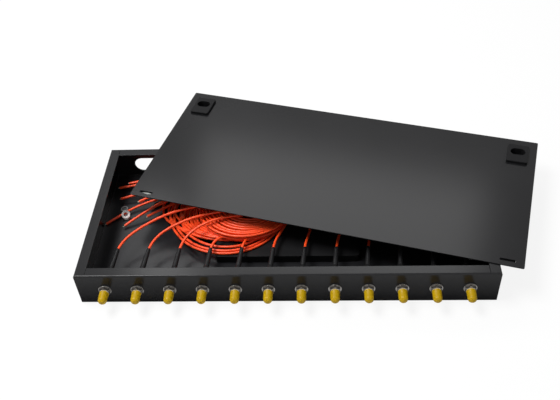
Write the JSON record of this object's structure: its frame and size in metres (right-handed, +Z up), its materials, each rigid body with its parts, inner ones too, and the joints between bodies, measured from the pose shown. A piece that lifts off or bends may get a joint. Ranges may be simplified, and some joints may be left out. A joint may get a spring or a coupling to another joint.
{
  "type": "fibre patch panel",
  "caption": "Rack fibre patch panel: shallow black folded-steel box with capped threaded adapters along its front, coiled orange pigtails inside and its sheet cover lying askew on top.",
  "frame": {"origin": "middle of the box's underside", "axes": "+X right along the front panel, +Y from the front panel to the rear wall, +Z up"},
  "size_m": [0.5162, 0.3361, 0.0474],
  "materials": {
    "box_black": "satin black powder coat",
    "cover_black": "satin black powder coat",
    "latch_black": "moulded black",
    "nickel_nut": "bright plated",
    "nickel_brass": "nickel plated",
    "white_ceramic": "ground white",
    "boot_black": "smooth moulded",
    "orange_jacket": "extruded jacket",
    "yellow_cap": "soft moulded yellow",
    "tray_black": "fine grained black",
    "white_nylon": "moulded white",
    "black_screw": "black passivated"
  },
  "bodies": {
    "panel": {"box_body": "box_black", "top_cover": "cover_black", "adapter_nuts": "nickel_nut", "lock_washers": "nickel_nut", "alignment_sleeves": "white_ceramic", "ferrules": "white_ceramic", "coupling_nuts": "nickel_brass", "connector_bodies": "nickel_brass", "crimp_sleeves": "nickel_brass", "boots": "boot_black", "pigtail_coil": "orange_jacket", "splice_tray": "tray_black", "splice_tray_cover": "tray_black", "splice_combs": "tray_black", "cable_clamp": "white_nylon", "clamp_screw": "black_screw", "adapter_01": "nickel_brass", "pigtail_01": "orange_jacket", "adapter_02": "nickel_brass", "pigtail_02": "orange_jacket", "adapter_03": "nickel_brass", "pigtail_03": "orange_jacket", "adapter_04": "nickel_brass", "pigtail_04": "orange_jacket", "adapter_05": "nickel_brass", "pigtail_05": "orange_jacket", "adapter_06": "nickel_brass", "pigtail_06": "orange_jacket", "adapter_07": "nickel_brass", "pigtail_07": "orange_jacket", "adapter_08": "nickel_brass", "pigtail_08": "orange_jacket", "adapter_09": "nickel_brass", "pigtail_09": "orange_jacket", "adapter_10": "nickel_brass", "pigtail_10": "orange_jacket", "adapter_11": "nickel_brass", "pigtail_11": "orange_jacket", "adapter_12": "nickel_brass", "pigtail_12": "orange_jacket"},
    "left_latch": {"left_slide_latch": "latch_black"},
    "right_latch": {"right_slide_latch": "latch_black"},
    "cap_01": {"dust_cap_01": "yellow_cap"},
    "cap_02": {"dust_cap_02": "yellow_cap"},
    "cap_03": {"dust_cap_03": "yellow_cap"},
    "cap_04": {"dust_cap_04": "yellow_cap"},
    "cap_05": {"dust_cap_05": "yellow_cap"},
    "cap_06": {"dust_cap_06": "yellow_cap"},
    "cap_07": {"dust_cap_07": "yellow_cap"},
    "cap_08": {"dust_cap_08": "yellow_cap"},
    "cap_09": {"dust_cap_09": "yellow_cap"},
    "cap_10": {"dust_cap_10": "yellow_cap"},
    "cap_11": {"dust_cap_11": "yellow_cap"},
    "cap_12": {"dust_cap_12": "yellow_cap"}
  },
  "joints": [
    {"name": "left_latch_slide", "type": "slide", "parent": "panel", "child": "left_latch", "axis": [-0.2676, -0.9635, 0], "range_m": [0, 0.006], "stiffness_N_per_m": 200, "springref_m": -0.004},
    {"name": "right_latch_slide", "type": "slide", "parent": "panel", "child": "right_latch", "axis": [-0.2676, -0.9635, 0], "range_m": [0, 0.006], "stiffness_N_per_m": 200, "springref_m": -0.004},
    {"name": "cap_01_pull", "type": "slide", "parent": "panel", "child": "cap_01", "axis": [0, -1, 0], "range_m": [0, 0.012]},
    {"name": "cap_02_pull", "type": "slide", "parent": "panel", "child": "cap_02", "axis": [0, -1, 0], "range_m": [0, 0.012]},
    {"name": "cap_03_pull", "type": "slide", "parent": "panel", "child": "cap_03", "axis": [0, -1, 0], "range_m": [0, 0.012]},
    {"name": "cap_04_pull", "type": "slide", "parent": "panel", "child": "cap_04", "axis": [0, -1, 0], "range_m": [0, 0.012]},
    {"name": "cap_05_pull", "type": "slide", "parent": "panel", "child": "cap_05", "axis": [0, -1, 0], "range_m": [0, 0.012]},
    {"name": "cap_06_pull", "type": "slide", "parent": "panel", "child": "cap_06", "axis": [0, -1, 0], "range_m": [0, 0.012]},
    {"name": "cap_07_pull", "type": "slide", "parent": "panel", "child": "cap_07", "axis": [0, -1, 0], "range_m": [0, 0.012]},
    {"name": "cap_08_pull", "type": "slide", "parent": "panel", "child": "cap_08", "axis": [0, -1, 0], "range_m": [0, 0.012]},
    {"name": "cap_09_pull", "type": "slide", "parent": "panel", "child": "cap_09", "axis": [0, -1, 0], "range_m": [0, 0.012]},
    {"name": "cap_10_pull", "type": "slide", "parent": "panel", "child": "cap_10", "axis": [0, -1, 0], "range_m": [0, 0.012]},
    {"name": "cap_11_pull", "type": "slide", "parent": "panel", "child": "cap_11", "axis": [0, -1, 0], "range_m": [0, 0.012]},
    {"name": "cap_12_pull", "type": "slide", "parent": "panel", "child": "cap_12", "axis": [0, -1, 0], "range_m": [0, 0.012]}
  ]
}
